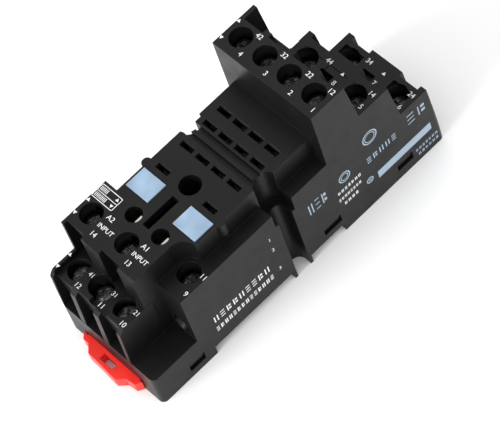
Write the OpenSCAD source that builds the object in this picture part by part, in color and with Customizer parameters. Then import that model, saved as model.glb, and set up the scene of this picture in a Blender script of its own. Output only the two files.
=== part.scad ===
// Fourteen-terminal socket for a four-pole plug-in relay, for a 35 mm rail or a panel.
// X runs from the rail latch to the terminal tower, Y across the width, Z up from the rail side.
// All sizes are in millimetres.

/* [Housing] */
// Length of the moulded housing
body_l = 77.6; // [77:0.2:82]
// Width of the housing
body_w = 27; // [27:0.1:28]
// Radius of the upright corners
corner_r = 1.2; // [0.6:0.1:1.6]
// Thickness of the outer walls
wall = 1.3; // [1.1:0.05:1.4]
// Thickness of the deck and of the roofs over the galleries
roof = 1.6; // [1.3:0.1:1.8]
// Lean of the outer end faces over their height
face_draft = 1.2; // [0.6:0.1:1.4]

/* [Levels] */
// Height of the tower with the first row of four terminals
tower_z = 40.3; // [39.8:0.1:42]
// Height of the second level
level2_z = 29; // [28.6:0.1:29.4]
// Height of the third level
level3_z = 18.5; // [18.2:0.1:19]
// Height of the relay deck and of the coil terminal block
deck_z = 30.2; // [30:0.1:31]
// Height of the low step with three common terminals
low_z = 20.3; // [20:0.1:20.8]
// Height of the side ledges beside the deck
ledge_z = 24; // [23.8:0.1:24.4]
// Floor of the wire way past the low step
way_z = 9; // [8.6:0.1:9.4]

/* [Plan] */
// Back face of the tower, where the relay stands against it
tower_x = 50.5; // [50.2:0.1:50.8]
// Depth of the tower top
tower_d = 8.6; // [8.4:0.1:9]
// Reach of the second level past the tower top
level2_d = 9; // [8.8:0.1:9.4]
// Half width of the relay deck
deck_hw = 10.25; // [10.1:0.05:10.5]
// Front face of the coil terminal block
coil_block_x = 7.4; // [7.2:0.1:7.6]
// Depth of the coil terminal block
coil_block_d = 11.7; // [11.5:0.1:12]
// Near face of the coil terminal block, measured from the middle
coil_block_y = 6.9; // [6.8:0.05:7.1]
// Depth of the wire way in the near corner
way_x = 11.7; // [11.5:0.1:12]
// Far edge of the second and third levels, measured from the middle
level_far_y = 7.8; // [7.6:0.1:8]

/* [Terminals] */
// Distance from a side face to the nearest column of terminals
col_edge = 3.5; // [3.45:0.01:3.55]
// Bore for the screwdriver over each screw
access_d = 4.9; // [4.7:0.1:5]
// Depth of the screw head under the surface
head_recess = 3.4; // [3.2:0.1:3.5]
// Diameter of the screw head
head_d = 4.4; // [4.2:0.05:4.5]
// Height of the screw head
head_h = 1.5; // [1.4:0.05:1.6]
// Diameter of the screw shank
shank_d = 3; // [2.8:0.1:3]
// Thread pitch, which sets how far a clamp rises in one turn
thread_pitch = 0.5; // [0.45:0.05:0.5]
// Rise of a clamp from open to closed
clamp_travel = 1.6; // [1.4:0.1:1.7]
// Width of a clamp across its column
clamp_w = 4.6; // [4.4:0.1:4.7]
// Length of a clamp along its wire
clamp_l = 4.4; // [4:0.1:4.5]
// Side and floor thickness of a clamp
clamp_t = 0.6; // [0.55:0.05:0.65]
// Thickness of the tapped top of a clamp
clamp_top_t = 1.2; // [1.1:0.05:1.3]
// Free height for the wire in an open clamp
wire_gap = 2.1; // [2:0.05:2.2]
// Width of a wire entry
entry_w = 5.1; // [4.9:0.05:5.2]
// Bore that leads the wire up to the side terminal
side_bore_d = 4; // [3.8:0.1:4.1]

/* [Contacts] */
// Thickness of the contact strip
strip_t = 0.6; // [0.55:0.05:0.65]
// Width of a contact strip
strip_w = 2.9; // [2.6:0.1:3]
// Spacing of the relay blades across the socket
blade_pitch = 4.4; // [4.35:0.05:4.5]
// Length of a blade slot
slot_l = 3.4; // [3.2:0.1:3.5]
// Width of a blade slot
slot_w = 0.9; // [0.8:0.05:1]
// Width of a receptacle
fork_w = 2.6; // [2.4:0.1:2.7]
// Length of the foot of a receptacle
fork_l = 2.2; // [2:0.1:2.3]
// Thickness of a receptacle leaf
leaf_t = 0.4; // [0.35:0.05:0.45]

/* [Deck] */
// Diameter of the large round well in the deck
well_d = 4.6; // [4.4:0.1:4.8]
// Diameter of the two module sockets
module_d = 3.6; // [3.4:0.1:3.7]
// Length of the label slot
label_slot_l = 8; // [7.6:0.1:8.2]
// Width of the label slot
label_slot_w = 1.8; // [1.6:0.1:2]
// Length of a coloured pad along the deck
pad_l = 4.9; // [4.7:0.1:5]
// Width of a coloured pad across the deck
pad_w = 6.15; // [6:0.05:6.2]
// Thickness of a coloured pad
pad_t = 0.7; // [0.6:0.05:0.8]
// Depth of the pocket that holds a pad
pad_sink = 0.5; // [0.4:0.05:0.5]
// Radius of the lugs for a retaining clip
lug_r = 1.1; // [0.9:0.1:1.2]

/* [Rail and panel fixing] */
// Width between the two feet, a little over the rail
rail_gap = 35.4; // [35.2:0.1:35.6]
// Length of the foot at the latch end
foot_l = 14.6; // [14.4:0.1:14.8]
// Height of the rail seat over the feet
rail_z = 2.4; // [2.3:0.05:2.5]
// Width of the slots for the panel screws
fix_slot_w = 3.6; // [3.4:0.1:3.7]
// Radius of the recess for a panel screw head
fix_head_r = 2.6; // [2.5:0.05:2.7]
// Reach of the latch past the end wall
latch_reach = 3.2; // [3:0.1:3.4]
// Reach of the latch nose and of the fixed lip under the rail
hook_reach = 2; // [1.8:0.1:2.1]
// Travel of the latch when it is pulled
latch_travel = 3; // [2.6:0.1:3]
// Half width of the latch where it slides
latch_hw = 7.6; // [7.4:0.05:7.7]
// Coils of the latch spring
spring_turns = 6; // [5:1:6]

/* [Hidden] */
$fn = 48;
eps = 0.01;
hw = body_w / 2;
// the origin lies under the middle of the whole part
origin_x = (body_l - latch_reach) / 2;
// named clearances
fit = 0.1;
slide_fit = 0.2;
strip_fit = 0.25;
// terminal stack, measured down from the surface over each screw
head_top = head_recess;
head_bot = head_top + head_h;
clamp_hi = head_bot + slide_fit;
clamp_lo = clamp_hi + clamp_travel;
bar_top = clamp_lo + clamp_top_t + slide_fit;
bar_bot = bar_top + strip_t;
clamp_floor = bar_bot + wire_gap;
clamp_bot = clamp_floor + clamp_t;
clamp_h = clamp_bot - clamp_lo;
cav_w = clamp_w + 2 * slide_fit;
cav_l = clamp_l + 2 * slide_fit;
// terminal columns
term_pitch = (body_w - 2 * col_edge) / 3;
col_y = [1.5 * term_pitch, 0.5 * term_pitch, -0.5 * term_pitch, -1.5 * term_pitch];
level_edge = 4;
upper_y = [level_far_y - level_edge, level_far_y - level_edge - 2 * term_pitch];
// screw axes along X, set back from the face that each wire enters
tower_set = 4.3;
level2_set = 4.9;
level3_set = 4.4;
low_face = 0.5;
side_tilt = 57;
low_set = 4.7;
coil_set = 5.1;
side_set = 5.6;
tower_tx = tower_x + tower_set;
level2_x = tower_x + tower_d + level2_d;
level2_tx = level2_x - level2_set;
level3_tx = body_l - face_draft - level3_set;
low_tx = low_face + low_set;
coil_tx = coil_block_x + coil_set;
side_tx = way_x + side_set;
coil_y = [hw - 3.2, 0.2];
// each terminal: name, x, y, surface height, wire side, distance from screw axis to wire face
TERMS = [
    ["42", tower_tx, col_y[0], tower_z, 1, tower_d - tower_set],
    ["32", tower_tx, col_y[1], tower_z, 1, tower_d - tower_set],
    ["22", tower_tx, col_y[2], tower_z, 1, tower_d - tower_set],
    ["12", tower_tx, col_y[3], tower_z, 1, tower_d - tower_set],
    ["44", level2_tx, upper_y[0], level2_z, 1, level2_set],
    ["14", level2_tx, upper_y[1], level2_z, 1, level2_set],
    ["34", level3_tx, upper_y[0], level3_z, 1, level3_set],
    ["24", level3_tx, upper_y[1], level3_z, 1, level3_set],
    ["41", low_tx, col_y[0], low_z, -1, low_set],
    ["31", low_tx, col_y[1], low_z, -1, low_set],
    ["21", low_tx, col_y[2], low_z, -1, low_set],
    ["a2", coil_tx, coil_y[0], deck_z, -1, coil_set],
    ["a1", coil_tx, coil_y[1], deck_z, -1, coil_set],
    ["11", side_tx, col_y[3], ledge_z, -1, side_set]
];
// relay blade rows along X and columns across
coil_row = 28.05;
com_row = 34.4;
no_row = 40.5;
nc_row = 44.35;
blade_y = [1.5 * blade_pitch, 0.5 * blade_pitch, -0.5 * blade_pitch, -1.5 * blade_pitch];
// galleries inside the housing
cover_top = 5;
gallery_z = cover_top + fit;
deck_in = deck_hw - wall + 0.1;
side_in = hw - wall;
deck_roof = deck_z - roof;
fork_top = deck_roof - fit;
fork_base = deck_z - bar_bot;
shaft_x = tower_x + 1;
shaft_t = strip_t + 2 * strip_fit - 0.2;
// panel fixing
fix_x = 38.4;
fix_y = blade_y[0] + 5.2;
fix_wall = 0.65;
// bevels on the low step and on the solid corner of the coil block
rib_bevel = 1.2;
corner_bevel = 0.5;
fix_back = -0.9;
// deck features
pad_x = 21;
pad_gap = 7.1;
module_x = 17.6;
module_y = 3.75;
well_x = 28.9;
label_x = 17.2;
lug_x = 27;
channel_x = [36.1, 38.1];
channel_w = 1.1;
channel_d = 0.9;
lug_h = 3.4;
// latch
channel_z = 3.2;
latch_z0 = 0.3;
latch_z1 = channel_z - slide_fit;
latch_core = latch_hw - 1.6;
latch_lip_z = 0.9;
spring_wire = 0.4;
spring_d = 2.5;
stop_x = 3.9;
stop_t = 0.9;
spring_l = 7;
window_x0 = stop_x - 0.3;
window_x1 = stop_x + stop_t + spring_l;
// snap windows: start along X, bottom height, length
rail_end = foot_l + rail_gap;
far_foot_l = body_l - rail_end;
WINDOWS = [[foot_l - 6.6, 1.9, 4], [rail_end - 4.8, 4.1, 4.6], [rail_end + far_foot_l / 2 + 1.4, 2.5, 4.2]];
window_h = 2.2;

function term(n) = TERMS[search([n], TERMS, 1, 0)[0]];

// moves a shape from the working origin at the latch end to the part's origin
module placed() {
    translate([-origin_x, 0, 0]) children();
}

// a block between two corners
module block(a, b) {
    translate(a) cube(b - a);
}

// a side profile in X and Z carried from y0 to y1
module across(points, y0, y1) {
    translate([0, y1, 0]) rotate([90, 0, 0]) linear_extrude(y1 - y0) polygon(points);
}

// puts children at a terminal, X pointing out along its wire and Z up from its surface
module at_term(t) {
    translate([t[1], t[2], t[3]]) mirror([t[4] > 0 ? 0 : 1, 0, 0]) children();
}

// ---------------------------------------------------------------- housing
module rounded_plan(grow) {
    r = corner_r;
    translate([-grow, -hw]) {
        translate([r, 0]) square([body_l + 2 * grow - 2 * r, body_w]);
        translate([0, r]) square([body_l + 2 * grow, body_w - 2 * r]);
        for (cx = [r, body_l + 2 * grow - r], cy = [r, body_w - r])
            translate([cx, cy]) circle(r);
    }
}

// end wall line at the tower side, leaning in as it rises
function end_x(z) = body_l - face_draft * z / level3_z;
function lean(top_x, top_z, z) = top_x + face_draft * (top_z - z) / 11;

module housing_mass() {
    t2 = tower_x + tower_d;
    // feet, rail seat and the lowest storey
    across([[0, 0], [foot_l, 0], [foot_l, rail_z], [rail_end, rail_z], [rail_end, 0],
        [body_l, 0], [end_x(way_z), way_z], [0, way_z]], -hw, hw);
    // low step
    across([[0, way_z - 1], [low_face, low_z - rib_bevel], [low_face + rib_bevel, low_z],
        [coil_block_x + 2, low_z], [coil_block_x + 2, way_z - 1]], -coil_block_y - 0.1, hw);
    // coil terminal block
    across([[coil_block_x, way_z - 1], [coil_block_x, deck_z],
        [coil_block_x + coil_block_d, deck_z], [coil_block_x + coil_block_d, way_z - 1]],
        -coil_block_y, hw);
    // side walls beside the deck
    block([way_x, -hw, way_z - 1], [tower_x + 1, hw, ledge_z]);
    // relay deck
    block([coil_block_x + coil_block_d - 1, -deck_hw, ledge_z - 1],
        [tower_x + 1, deck_hw, deck_z]);
    // tower
    across([[tower_x, way_z - 1], [tower_x, tower_z], [t2, tower_z],
        [lean(t2, tower_z, level2_z - 1), level2_z - 1],
        [lean(t2, tower_z, level2_z - 1), way_z - 1]], -hw, hw);
    // second level
    across([[tower_x + 2, way_z - 1], [tower_x + 2, level2_z], [level2_x, level2_z],
        [lean(level2_x, level2_z, level3_z - 1), level3_z - 1],
        [lean(level2_x, level2_z, level3_z - 1), way_z - 1]], -hw, level_far_y);
    // third level
    across([[level2_x - 4, way_z - 1], [level2_x - 4, level3_z], [end_x(level3_z), level3_z],
        [end_x(way_z - 1), way_z - 1]], -hw, level_far_y);
    // stepped sill behind the far column
    across([[tower_x + 3, way_z - 1], [tower_x + 3, level2_z + 0.6], [t2 + 3.6, level2_z + 0.6],
        [t2 + 4, level3_z], [level2_x + 1.6, level3_z], [level2_x + 2, way_z - 1]],
        level_far_y - 0.5, hw);
    // far cheek of the tower, longer than the tower top
    across([[tower_x + 4, level2_z], [tower_x + 4, tower_z], [t2 + 2.4, tower_z],
        [t2 + 3.4, level2_z]], hw - 1.1, hw);
    // bosses of the panel screw slots, down to the rail side
    for (s = [-1, 1]) translate([fix_x, s * fix_y, 0]) rotate([0, 0, s > 0 ? 0 : 180])
        linear_extrude(way_z) fix_plan(fix_slot_w + 2 * fix_wall, hw - fix_y);
    // lugs for a retaining clip
    for (s = [-1, 1])
        translate([lug_x, s * deck_hw, deck_z - lug_h]) cylinder(h = lug_h, r = lug_r);
    for (s = [-1, 1])
        translate([lug_x, s * deck_hw, deck_z - lug_h]) sphere(lug_r);
}

// screw bore, clamp chamber and wire entry of one terminal
module terminal_cut(t) {
    at_term(t) {
        translate([0, 0, -head_bot - fit]) cylinder(h = head_bot + 1, d = access_d);
        block([-cav_l / 2, -cav_w / 2, -clamp_bot - slide_fit],
            [cav_l / 2, cav_w / 2, -head_bot - fit + eps]);
        // passage of the contact strip, away from the wire
        block([-cav_l / 2 - (t[1] == tower_tx ? 0 : 1.6), -strip_w / 2 - strip_fit,
                -bar_bot - strip_fit],
            [0, strip_w / 2 + strip_fit, -bar_top + strip_fit]);
    }
}

// the sloped mouth that leads a wire under the clamp
module entry_cut(t) {
    f = t[5];
    at_term(t)
        across([[f + 6, 0.5], [f - 1, 0.5], [f - 1, 0], [cav_l / 2 + 0.7, -head_bot - 0.7],
            [cav_l / 2 + 0.7, -bar_top + 0.1], [cav_l / 2 - 0.5, -bar_top + 0.1],
            [cav_l / 2 - 0.5, -clamp_bot - slide_fit + 0.1],
            [f + 6, -clamp_bot - slide_fit + 0.1]], -entry_w / 2, entry_w / 2);
}

module blade_slot(x, y) {
    translate([x, y - slot_l / 2, deck_z])
        across([[-slot_w / 2, -roof - 1], [slot_w / 2, -roof - 1], [slot_w / 2, -0.35],
            [slot_w / 2 + 0.3, 0], [slot_w / 2 + 0.3, 1], [-slot_w / 2 - 0.3, 1],
            [-slot_w / 2 - 0.3, 0], [-slot_w / 2, -0.35]], 0, slot_l);
}

// plan of a panel screw slot, open to the side at +Y
module fix_plan(w, reach) {
    circle(d = w);
    translate([-w / 2, 0]) square([w, reach]);
}

// everything hollow inside the housing
module galleries() {
    low_roof = low_z - bar_top + 4.2;
    // seat of the base cover
    block([wall, -side_in, -1], [body_l - face_draft - wall + 0.9, side_in, gallery_z]);
    // under the coil block
    block([low_tx + cav_l / 2 + 1, -coil_block_y + 1.1, gallery_z - eps],
        [pad_x - 0.4, side_in, low_roof]);
    block([way_x + wall, -side_in, gallery_z - eps],
        [pad_x, -coil_block_y + 1.2, way_z + 0.3]);
    // strips of the coil contacts above
    block([coil_tx + cav_l / 2 - 0.5, -coil_block_y + 1.1, fork_base - 0.8],
        [pad_x, side_in, deck_roof]);
    // under the deck
    block([pad_x - 0.5, -deck_in, gallery_z - eps], [shaft_x, deck_in, deck_roof]);
    for (s = [-1, 1]) {
        lo = s < 0 ? -side_in : deck_in - eps;
        hi = s < 0 ? -deck_in + eps : side_in;
        block([pad_x - 0.5, lo, gallery_z - eps], [shaft_x + 2, hi, ledge_z - roof]);
    }
    // under the tower and the second level
    block([shaft_x - eps, -side_in, gallery_z - eps],
        [level2_tx - cav_l / 2 - 0.8, side_in, level2_z - clamp_bot + 0.5]);
    block([level2_tx - cav_l / 2 - 1, -side_in, gallery_z - eps],
        [level3_tx - cav_l / 2 - 0.8, side_in, level3_z - 2.2]);
    // shaft for the risers of the tower contacts
    block([shaft_x - 0.05, -1.5 * term_pitch - strip_w / 2 - strip_fit, gallery_z + 8],
        [shaft_x + shaft_t, 1.5 * term_pitch + strip_w / 2 + strip_fit,
            tower_z - bar_top + strip_fit]);
    // shafts for the risers of the second level
    for (y = upper_y)
        block([level2_tx - cav_l / 2 - 1.9, y - strip_w / 2 - strip_fit,
                level2_z - clamp_bot - 0.5],
            [level2_tx - cav_l / 2 - 0.7, y + strip_w / 2 + strip_fit,
                level2_z - bar_top + strip_fit]);
}

// walls that stay inside the galleries
module inner_walls() {
    // well under the large round hole
    translate([well_x, 0, deck_roof - 8.4]) cylinder(h = 8.5, d = well_d + 2);
    // tubes of the two module sockets
    for (s = [-1, 1]) translate([module_x, s * module_y, fork_base + strip_t + slide_fit])
        cylinder(h = deck_z - fork_base - 2, d = module_d + 1.6);
    // bosses of the panel screw slots
    for (s = [-1, 1]) translate([fix_x, s * fix_y, 0]) rotate([0, 0, s > 0 ? 0 : 180]) {
        linear_extrude(ledge_z - 1) fix_plan(fix_slot_w + 2 * fix_wall, hw - fix_y);
        translate([0, fix_back, ledge_z - 4.6])
            cylinder(h = deck_roof - ledge_z + 5.3, r = fix_head_r + 0.45);
    }
    // ribs between the receptacles
    for (y = [-blade_pitch, 0, blade_pitch])
        block([com_row - 2, y - 0.4, fork_base - 1.5], [nc_row + 2, y + 0.4, deck_roof + eps]);
    // bridge ribs under the ribbed channel across the deck
    for (x = channel_x)
        block([x + 0.1, -deck_in, deck_roof - 1.2],
            [x + channel_w - 0.1, deck_in, deck_roof + eps]);
}

module housing() {
    color("dimgray") placed() difference() {
        intersection() {
            union() {
                difference() {
                    housing_mass();
                    galleries();
                }
                intersection() {
                    housing_mass();
                    inner_walls();
                }
            }
            translate([0, 0, -1]) linear_extrude(tower_z + 2) rounded_plan(0);
        }
        for (t = TERMS) terminal_cut(t);
        for (t = TERMS) if (t[0] != "11") entry_cut(t);
        // slanting bore from a trough in the floor up to the side terminal
        translate([way_x - 4, col_y[3], way_z + 0.2]) {
            sphere(d = side_bore_d);
            rotate([0, side_tilt, 0]) cylinder(h = 9.2, d = side_bore_d);
        }
        // room for the screwdriver beside the deck
        translate([side_tx, col_y[3], ledge_z]) cylinder(h = 10, d = 6.4);
        // blade slots
        for (y = blade_y, x = [com_row, no_row, nc_row]) blade_slot(x, y);
        for (y = [blade_y[0], blade_y[3]]) blade_slot(coil_row, y);
        // well, module sockets and label slot
        translate([well_x, 0, deck_roof - 7]) cylinder(h = 10, d = well_d);
        for (s = [-1, 1]) translate([module_x, s * module_y, fork_base + strip_t])
            cylinder(h = 12, d = module_d);
        block([label_x, -label_slot_w / 2, deck_roof - 2],
            [label_x + label_slot_l, label_slot_w / 2, deck_z + 1]);
        // pockets of the coloured pads
        for (s = [-1, 1])
            translate([pad_x - fit, s * (pad_gap + pad_w) / 2 - pad_w / 2 - fit,
                deck_z - pad_sink])
                cube([pad_l + 2 * fit, pad_w + 2 * fit, 2]);
        // ribbed channel across the deck
        for (x = channel_x)
            block([x, -deck_hw - 1, deck_z - channel_d],
                [x + channel_w, deck_hw + 1, deck_z + 1]);
        // panel screw slots and the recesses for their heads
        for (s = [-1, 1]) translate([fix_x, s * fix_y, 0]) rotate([0, 0, s > 0 ? 0 : 180]) {
            translate([0, 0, -1]) linear_extrude(tower_z) fix_plan(fix_slot_w, 5);
            translate([0, fix_back, ledge_z - 4]) linear_extrude(12)
                fix_plan(2 * fix_head_r, 5);
        }
        // dark pockets at the foot of the upper levels
        block([level2_tx - 3, -3.4, level2_z - 3], [level2_tx + 0.4, -0.2, level2_z + 1]);
        block([level3_tx - 3, -3.6, level3_z - 1.6], [level3_tx + 0.3, -0.5, level3_z + 1]);
        // bevel on the solid corner of the coil block
        across([[coil_block_x - 1, deck_z - corner_bevel], [coil_block_x, deck_z - corner_bevel],
            [coil_block_x + corner_bevel, deck_z + eps], [coil_block_x - 1, deck_z + eps]],
            -coil_block_y - 1, coil_y[1] - entry_w / 2);
        // snap windows
        for (w = WINDOWS)
            block([w[0], -hw - 1, w[1]], [w[0] + w[2], hw + 1, w[1] + window_h]);
        // opening for the latch
        block([-1, -latch_hw - slide_fit, -1],
            [wall + 1, latch_hw + slide_fit, channel_z + slide_fit]);
    }
}

// ---------------------------------------------------------------- base cover
module base_cover() {
    x0 = wall + fit;
    x1 = body_l - face_draft - wall + 0.9 - fit;
    y1 = side_in - fit;
    rail_x1 = rail_end;
    color("gray") placed() difference() {
        union() {
            across([[x0, 0.2], [foot_l - fit, 0.2], [foot_l - fit, rail_z],
                [rail_x1 + fit, rail_z], [rail_x1 + fit, 0.2], [x1, 0.2], [x1, cover_top],
                [x0, cover_top]], -y1, y1);
            // fixed lip that hooks under the rail
            across([[rail_x1 + 1, 0.2], [rail_x1 - hook_reach + 0.6, 0.2],
                [rail_x1 - hook_reach, 0.6], [rail_x1 - hook_reach, 1.2], [rail_x1 + 1, 1.2]],
                -8, 8);
            // snap nibs in the windows
            for (w = WINDOWS, s = [-1, 1])
                translate([w[0] + 0.2, s * (y1 - 1), 0]) mirror([0, s > 0 ? 0 : 1, 0])
                    snap_nib(w[2] - 0.4, w[1], hw - y1 - 0.25);
        }
        // slots for the bosses of the panel screws
        for (s = [-1, 1]) translate([fix_x, s * fix_y, -1]) rotate([0, 0, s > 0 ? 0 : 180])
            linear_extrude(10) fix_plan(fix_slot_w + 2 * fix_wall + 2 * fit, 4);
        // latch channel with lips under its edges, open below
        difference() {
            union() {
                block([-1, -latch_core - slide_fit, -1],
                    [foot_l + 1, latch_core + slide_fit, channel_z]);
                block([-1, -latch_hw - slide_fit, latch_lip_z],
                    [foot_l + 1, latch_hw + slide_fit, channel_z]);
            }
            // abutment of the latch spring
            block([stop_x, -spring_d / 2, 0.4], [stop_x + stop_t, spring_d / 2, 10]);
        }
        // coring of the other foot, seen from below
        for (x = [rail_x1 + 1.6, rail_x1 + 13.6], y = [-11.3, 0.6])
            block([x, y, -1], [x + 10.8, y + 10.7, cover_top - 1.4]);
    }
}

// one snap nib on its tongue, pointing to +Y
module snap_nib(l, z0, reach) {
    if (z0 + 0.3 > cover_top - window_h)
        block([0, 0, cover_top - 1], [l, 1, z0 + window_h - 0.1]);
    translate([l, 0, 0]) rotate([90, 0, -90]) linear_extrude(l)
        polygon([[0.5, z0 + 0.2], [-0.9, z0 + 0.2], [-0.9 - reach, z0 + 0.9],
            [-0.9 - reach, z0 + window_h - 0.3], [0.5, z0 + window_h - 0.3]]);
}

// ---------------------------------------------------------------- rail latch
module latch_plan() {
    r = latch_reach;
    w = latch_hw;
    polygon([[-0.15, w + 1.2], [-1.3, w + 0.1], [-1.3, w - 1.4], [-r + 0.4, w - 3],
        [-r + 0.3, w - 6.4], [-r, 4.7 - w], [-r, 3.8 - w], [-1.7, 2.2 - w], [-1.5, -w],
        [-0.15, -w - 0.8]]);
}

module rail_latch() {
    color("red") placed() difference() {
        union() {
            // head outside the end wall
            translate([0, 0, latch_z0]) linear_extrude(latch_z1 - latch_z0) latch_plan();
            // sliding plate with a flange on each side
            block([-0.5, -latch_core, latch_z0], [foot_l - 0.3, latch_core, latch_z1]);
            block([-0.5, -latch_hw, latch_lip_z + slide_fit],
                [foot_l - 0.3, latch_hw, latch_z1]);
            // nose that catches the rail
            across([[foot_l - 1, latch_z0], [foot_l + hook_reach - 0.6, latch_z0],
                [foot_l + hook_reach, latch_z0 + 0.4], [foot_l + hook_reach, 1.2],
                [foot_l - 1, 1.2]], -latch_core, latch_core);
        }
        // slot for the tip of a screwdriver
        block([-2.1, -1.8, -1], [-0.6, 2, 5]);
        // window of the spring
        block([window_x0, -spring_d / 2 - 0.3, -1], [window_x1, spring_d / 2 + 0.3, 5]);
        // lightening recess in the top of the plate
        for (s = [-1, 1])
            block([3, s * 4.2 - 1.3, latch_z1 - 1.2], [12, s * 4.2 + 1.3, 5]);
    }
}

// points of one ring of the spring wire
function spring_centre(a, l) = [l * a / (360 * spring_turns),
    (spring_d - spring_wire) / 2 * cos(a), (spring_d - spring_wire) / 2 * sin(a)];
module latch_spring() {
    l = spring_l - spring_wire - 2 * 0.1;
    sides = 8;
    rings = 12 * spring_turns;
    pts = [for (i = [0:rings]) let (a = 360 * spring_turns * i / rings, c = spring_centre(a, l))
        for (j = [0:sides - 1]) let (b = 360 * j / sides)
            c + spring_wire / 2 * [sin(b), cos(b) * cos(a), cos(b) * sin(a)]];
    faces = concat(
        [[for (j = [0:sides - 1]) j]],
        [for (i = [0:rings - 1], j = [0:sides - 1]) [i * sides + j, (i + 1) * sides + j,
            (i + 1) * sides + (j + 1) % sides]],
        [for (i = [0:rings - 1], j = [0:sides - 1]) [i * sides + j,
            (i + 1) * sides + (j + 1) % sides, i * sides + (j + 1) % sides]],
        [[for (j = [sides - 1:-1:0]) rings * sides + j]]);
    color("silver") placed()
        translate([stop_x + stop_t + spring_wire / 2 + 0.1, 0, (latch_z0 + latch_z1) / 2])
            polyhedron(pts, faces, convexity = 10);
}

// ---------------------------------------------------------------- coloured pads
module pad(s) {
    color("lightblue") placed()
        translate([pad_x, s * (pad_gap + pad_w) / 2 - pad_w / 2, deck_z - pad_sink])
            cube([pad_l, pad_w, pad_t]);
}
module pad_far() { pad(1); }
module pad_near() { pad(-1); }

// ---------------------------------------------------------------- terminal screw and clamp
module screw(n) {
    t = term(n);
    color("silver") placed() at_term(t) difference() {
        rotate_extrude() polygon([[0, -bar_top + fit], [shank_d / 2 - 0.3, -bar_top + fit],
            [shank_d / 2, -bar_top + fit + 0.4], [shank_d / 2, -head_bot],
            [head_d / 2, -head_bot], [head_d / 2, -head_top - 0.35],
            [head_d / 2 - 0.3, -head_top - 0.1], [head_d / 2 - 0.9, -head_top],
            [0, -head_top]]);
        rotate([0, 0, t[2] * 37]) {
            block([-head_d, -0.4, -head_top - 0.8], [head_d, 0.4, 1]);
            block([-1.15, -1.15, -head_top - 0.3], [1.15, 1.15, 1]);
            block([-0.35, -1.3, -head_top - 1.1], [0.35, 1.3, 1]);
        }
    }
}

module clamp(n) {
    color("lightgray") placed() at_term(term(n)) difference() {
        translate([0, 0, -clamp_bot]) block([-clamp_l / 2, -clamp_w / 2, 0],
            [clamp_l / 2, clamp_w / 2, clamp_h]);
        // opening for strip and wire
        block([-clamp_l, -clamp_w / 2 + clamp_t, -clamp_floor],
            [clamp_l, clamp_w / 2 - clamp_t, -clamp_lo - clamp_top_t]);
        // tapped hole
        translate([0, 0, -clamp_bot]) translate([0, 0, clamp_h - clamp_top_t - 1])
            cylinder(h = clamp_top_t + 2, d = shank_d + 2 * fit);
        // grip grooves in the floor
        for (x = [-1.2, 0, 1.2])
            block([x - 0.15, -clamp_w / 2 + clamp_t, -clamp_floor - 0.2],
                [x + 0.15, clamp_w / 2 - clamp_t, -clamp_floor + 1]);
    }
}

// ---------------------------------------------------------------- contacts
// spring receptacle under a blade slot, with a stem down to z
module fork(x, y, z) {
    b = fork_base;
    foot = fork_l / 2;
    neck = 0.25 + leaf_t;
    translate([x, 0, 0]) for (s = [0, 1]) mirror([s, 0, 0])
        across([[0, b], [foot, b], [foot, b + 1.6], [neck, fork_top - 1.6], [foot, fork_top],
            [foot - leaf_t, fork_top], [neck - leaf_t, fork_top - 1.6],
            [foot - leaf_t, b + 1.6], [foot - leaf_t, b + strip_t], [0, b + strip_t]],
            y - fork_w / 2, y + fork_w / 2);
    if (z < b)
        block([x - strip_t / 2, y - strip_w / 2, z],
            [x + strip_t / 2, y + strip_w / 2, b + eps]);
}

// flat strip between two X positions and two Y edges, its underside at z
module strip(xa, xb, ya, yb, z) {
    block([min(xa, xb), min(ya, yb), z], [max(xa, xb), max(ya, yb), z + strip_t]);
}

// tongue inside the clamp, back to x
module tongue(t, x) {
    tip = t[1] + t[4] * (clamp_l / 2 - 0.2);
    strip(tip, x, t[2] - strip_w / 2, t[2] + strip_w / 2, t[3] - bar_bot);
}

// contact whose strip runs level with its tongue
module flat_contact(n, row, y, joint_x) {
    joint_l = 1.6;
    t = term(n);
    z = t[3] - bar_bot;
    h = strip_w / 2;
    color("peru") placed() {
        fork(row, y, z);
        strip(row, joint_x, y - h, y + h, z);
        strip(joint_x, joint_x + joint_l, min(y, t[2]) - h, max(y, t[2]) + h, z);
        tongue(t, joint_x);
    }
}

// contact with a riser from a lower strip up to its tongue
module riser_contact(n, row, y, z, riser_x) {
    t = term(n);
    h = strip_w / 2;
    ya = min(y, t[2]) - h;
    yb = max(y, t[2]) + h;
    color("peru") placed() {
        fork(row, y, z);
        strip(row, riser_x, y - h, y + h, z);
        if (t[1] == tower_tx)
            block([riser_x, ya, z], [riser_x + strip_t, yb, t[3] - bar_top]);
        else {
            strip(riser_x - 1.4, riser_x + strip_t, ya, yb, z);
            block([riser_x, t[2] - h, z], [riser_x + strip_t, t[2] + h, t[3] - bar_top]);
        }
        tongue(t, riser_x);
    }
}

tower_riser = shaft_x + strip_fit - 0.05;
level2_riser = level2_tx - cav_l / 2 - 1.65;
module contact_42() { riser_contact("42", nc_row, blade_y[0], fork_base, tower_riser); }
module contact_32() { riser_contact("32", nc_row, blade_y[1], fork_base, tower_riser); }
module contact_22() { riser_contact("22", nc_row, blade_y[2], fork_base, tower_riser); }
module contact_12() { riser_contact("12", nc_row, blade_y[3], fork_base, tower_riser); }
no_strip = fork_base - 5;
level3_link = level3_tx - cav_l / 2 - 3;
low_link = low_tx + cav_l / 2 + 1.6;
side_link = side_tx + cav_l / 2 + 0.9;
module contact_44() { riser_contact("44", no_row, blade_y[0], no_strip, level2_riser); }
module contact_14() { riser_contact("14", no_row, blade_y[3], no_strip, level2_riser); }
module contact_34() { flat_contact("34", no_row, blade_y[1], level3_link); }
module contact_24() { flat_contact("24", no_row, blade_y[2], level3_link); }
module contact_41() { flat_contact("41", com_row, blade_y[0], low_link); }
module contact_31() { flat_contact("31", com_row, blade_y[1], low_link); }
module contact_21() { flat_contact("21", com_row, blade_y[2], low_link); }
module contact_11() { flat_contact("11", com_row, blade_y[3], side_link); }

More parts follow.
